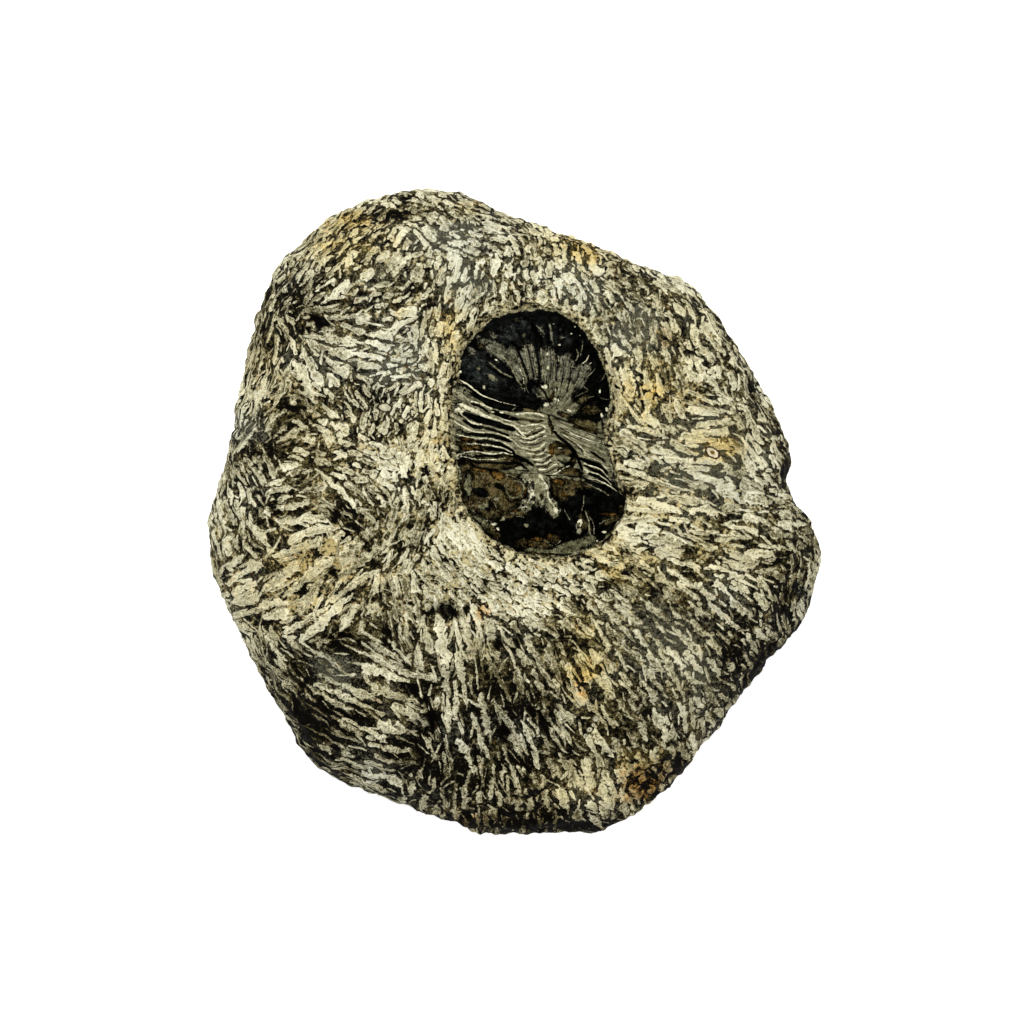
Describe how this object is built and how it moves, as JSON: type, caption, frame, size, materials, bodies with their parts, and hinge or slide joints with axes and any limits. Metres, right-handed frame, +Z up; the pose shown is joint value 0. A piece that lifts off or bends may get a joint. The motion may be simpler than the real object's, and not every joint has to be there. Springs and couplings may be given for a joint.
{
  "type": "fossil trilobite",
  "caption": "Fossil trilobite in a rounded block of chiselled limestone: fan-shaped ribbed tail, narrow thorax segments and lobed head lie in a shallow hollow.",
  "frame": {"origin": "centre of the block's outline, on the flat underside it rests on", "axes": "+Z up out of the block's top, through its thickness; +Y along the animal from head to tail, the block's longest side; +X to the right as seen from above with the tail up"},
  "size_m": [0.1053, 0.1114, 0.0376],
  "materials": {
    "limestone": "matt grey-olive limestone covered in pale chisel marks",
    "shell": "glossy black and brown calcite shell, worn cream along the thorax"
  },
  "bodies": {
    "root": {"matrix": "limestone", "pygidium": "shell", "thorax_segment_01": "shell", "thorax_segment_02": "shell", "thorax_segment_03": "shell", "thorax_segment_04": "shell", "thorax_segment_05": "shell", "thorax_segment_06": "shell", "thorax_segment_07": "shell", "thorax_segment_08": "shell", "thorax_segment_09": "shell", "thorax_segment_10": "shell", "cephalon": "shell"}
  },
  "joints": []
}
